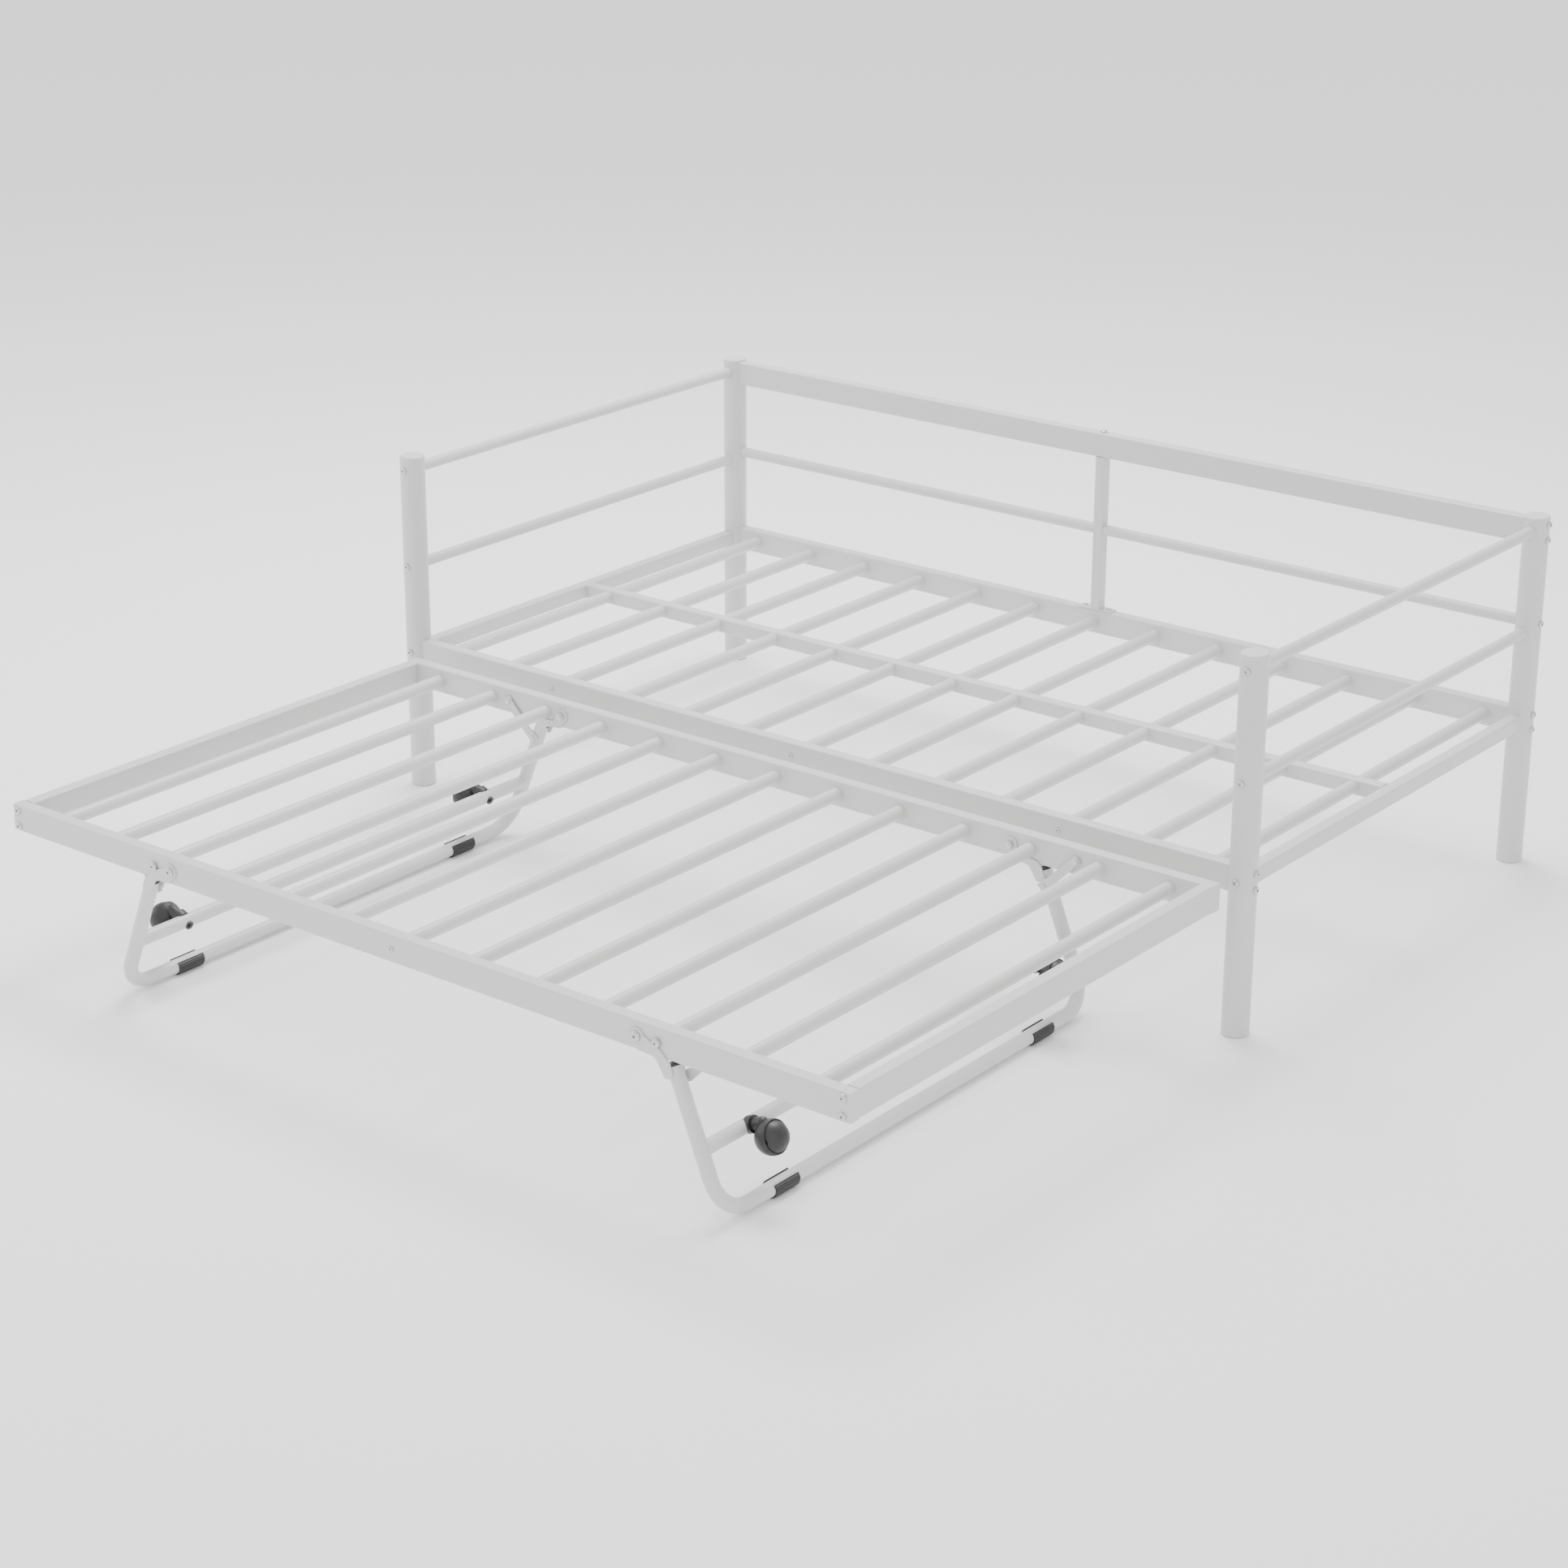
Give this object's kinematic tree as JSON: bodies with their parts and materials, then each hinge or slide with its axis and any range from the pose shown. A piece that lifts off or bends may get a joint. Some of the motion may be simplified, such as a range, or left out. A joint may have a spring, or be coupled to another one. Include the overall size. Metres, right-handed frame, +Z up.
{
  "type": "trundle bed",
  "caption": "White metal daybed frame with slatted deck, low back and end rails, and a slatted pop-up trundle bed on folding U-legs with casters.",
  "frame": {"origin": "middle of the overall footprint, on the floor, with the trundle drawn out and raised", "axes": "+X along the bed to its right-hand end, +Y to the back of the daybed, +Z up"},
  "size_m": [2.004, 2.171, 0.699],
  "materials": {
    "white_powder_coat": "white satin powder coat on steel tube",
    "white_cap": "white satin moulded cap",
    "zinc_steel": "bright zinc plated",
    "plain_steel": "plain machined steel",
    "black_plastic": "black moulded plastic, fine matt grain",
    "wheel_black": "black hard nylon tread"
  },
  "bodies": {
    "daybed": {"back_mid_rail_left": "white_powder_coat", "back_mid_rail_right": "white_powder_coat", "back_top_rail": "white_powder_coat", "back_upright": "white_powder_coat", "front_rail": "white_powder_coat", "front_slats": "white_powder_coat", "left_end_mid_rail": "white_powder_coat", "left_end_top_rail": "white_powder_coat", "left_side_rail": "white_powder_coat", "middle_rail": "white_powder_coat", "post_bolts": "zinc_steel", "post_feet": "white_cap", "post_front_left": "white_powder_coat", "post_front_right": "white_powder_coat", "post_rear_left": "white_powder_coat", "post_rear_right": "white_powder_coat", "post_top_caps": "white_cap", "rear_rail": "white_powder_coat", "rear_slats": "white_powder_coat", "right_end_mid_rail": "white_powder_coat", "right_end_top_rail": "white_powder_coat", "right_side_rail": "white_powder_coat", "slat_tie_screws": "zinc_steel", "tube_inserts": "plain_steel", "upright_fixings": "zinc_steel"},
    "trundle": {"leg_pivot_bolts": "zinc_steel", "stay_rivets": "zinc_steel", "trundle_corner_bolts": "zinc_steel", "trundle_front_rail": "white_powder_coat", "trundle_inserts": "plain_steel", "trundle_left_rail": "white_powder_coat", "trundle_rail_caps": "white_cap", "trundle_rear_rail": "white_powder_coat", "trundle_right_rail": "white_powder_coat", "trundle_slats": "white_powder_coat", "trundle_tie_bolts": "zinc_steel"},
    "left_leg": {"left_leg_caster_sockets": "black_plastic", "left_leg_crossbar": "white_powder_coat", "left_leg_end_plugs": "black_plastic", "left_leg_foot_pads": "black_plastic", "left_leg_plates": "white_powder_coat", "left_leg_tube": "white_powder_coat"},
    "right_leg": {"right_leg_caster_sockets": "black_plastic", "right_leg_crossbar": "white_powder_coat", "right_leg_end_plugs": "black_plastic", "right_leg_foot_pads": "black_plastic", "right_leg_plates": "white_powder_coat", "right_leg_tube": "white_powder_coat"},
    "stay_front_left": {"stay_front_left": "white_powder_coat"},
    "caster_front_left": {"caster_front_left": "black_plastic"},
    "wheel_front_left": {"caster_wheel_front_left": "wheel_black"},
    "stay_front_right": {"stay_front_right": "white_powder_coat"},
    "caster_front_right": {"caster_front_right": "black_plastic"},
    "wheel_front_right": {"caster_wheel_front_right": "wheel_black"},
    "stay_rear_left": {"stay_rear_left": "white_powder_coat"},
    "caster_rear_left": {"caster_rear_left": "black_plastic"},
    "wheel_rear_left": {"caster_wheel_rear_left": "wheel_black"},
    "stay_rear_right": {"stay_rear_right": "white_powder_coat"},
    "caster_rear_right": {"caster_rear_right": "black_plastic"},
    "wheel_rear_right": {"caster_wheel_rear_right": "wheel_black"}
  },
  "joints": [
    {"name": "trundle_lower", "type": "slide", "parent": "daybed", "child": "trundle", "axis": [0, 0, 1], "range_m": [-0.1655, 0]},
    {"name": "left_leg_fold", "type": "hinge", "parent": "trundle", "child": "left_leg", "pos_m": [-0.491, -0.56055, 0.284], "axis": [0, -1, 0], "range_deg": [0, 112]},
    {"name": "right_leg_fold", "type": "hinge", "parent": "trundle", "child": "right_leg", "pos_m": [0.563, -0.56055, 0.284], "axis": [0, 1, 0], "range_deg": [0, 112]},
    {"name": "stay_lift_front_left", "type": "hinge", "parent": "trundle", "child": "stay_front_left", "pos_m": [-0.628, -1.04695, 0.286], "axis": [0, -1, 0], "range_deg": [0, 25]},
    {"name": "caster_swivel_front_left", "type": "hinge", "parent": "left_leg", "child": "caster_front_left", "pos_m": [-0.60727, -0.95255, 0.11769], "axis": [-0.9272, 0, 0.3746], "continuous": true},
    {"name": "wheel_roll_front_left", "type": "hinge", "parent": "caster_front_left", "child": "wheel_front_left", "pos_m": [-0.65891, -0.95255, 0.11267], "axis": [0, 1, 0], "continuous": true},
    {"name": "stay_lift_front_right", "type": "hinge", "parent": "trundle", "child": "stay_front_right", "pos_m": [0.7, -1.04695, 0.286], "axis": [0, 1, 0], "range_deg": [0, 25]},
    {"name": "caster_swivel_front_right", "type": "hinge", "parent": "right_leg", "child": "caster_front_right", "pos_m": [0.67927, -0.95255, 0.11769], "axis": [0.9272, 0, 0.3746], "continuous": true},
    {"name": "wheel_roll_front_right", "type": "hinge", "parent": "caster_front_right", "child": "wheel_front_right", "pos_m": [0.73091, -0.95255, 0.11267], "axis": [0, 1, 0], "continuous": true},
    {"name": "stay_lift_rear_left", "type": "hinge", "parent": "trundle", "child": "stay_rear_left", "pos_m": [-0.628, -0.07415, 0.286], "axis": [0, -1, 0], "range_deg": [0, 25]},
    {"name": "caster_swivel_rear_left", "type": "hinge", "parent": "left_leg", "child": "caster_rear_left", "pos_m": [-0.60727, -0.16855, 0.11769], "axis": [-0.9272, 0, 0.3746], "continuous": true},
    {"name": "wheel_roll_rear_left", "type": "hinge", "parent": "caster_rear_left", "child": "wheel_rear_left", "pos_m": [-0.65891, -0.16855, 0.11267], "axis": [0, 1, 0], "continuous": true},
    {"name": "stay_lift_rear_right", "type": "hinge", "parent": "trundle", "child": "stay_rear_right", "pos_m": [0.7, -0.07415, 0.286], "axis": [0, 1, 0], "range_deg": [0, 25]},
    {"name": "caster_swivel_rear_right", "type": "hinge", "parent": "right_leg", "child": "caster_rear_right", "pos_m": [0.67927, -0.16855, 0.11769], "axis": [0.9272, 0, 0.3746], "continuous": true},
    {"name": "wheel_roll_rear_right", "type": "hinge", "parent": "caster_rear_right", "child": "wheel_rear_right", "pos_m": [0.73091, -0.16855, 0.11267], "axis": [0, 1, 0], "continuous": true}
  ],
  "couplings": [
    {"joint": "left_leg_fold", "follows": "trundle_lower", "rad_per_m": -11.81},
    {"joint": "right_leg_fold", "follows": "trundle_lower", "rad_per_m": -11.81}
  ]
}
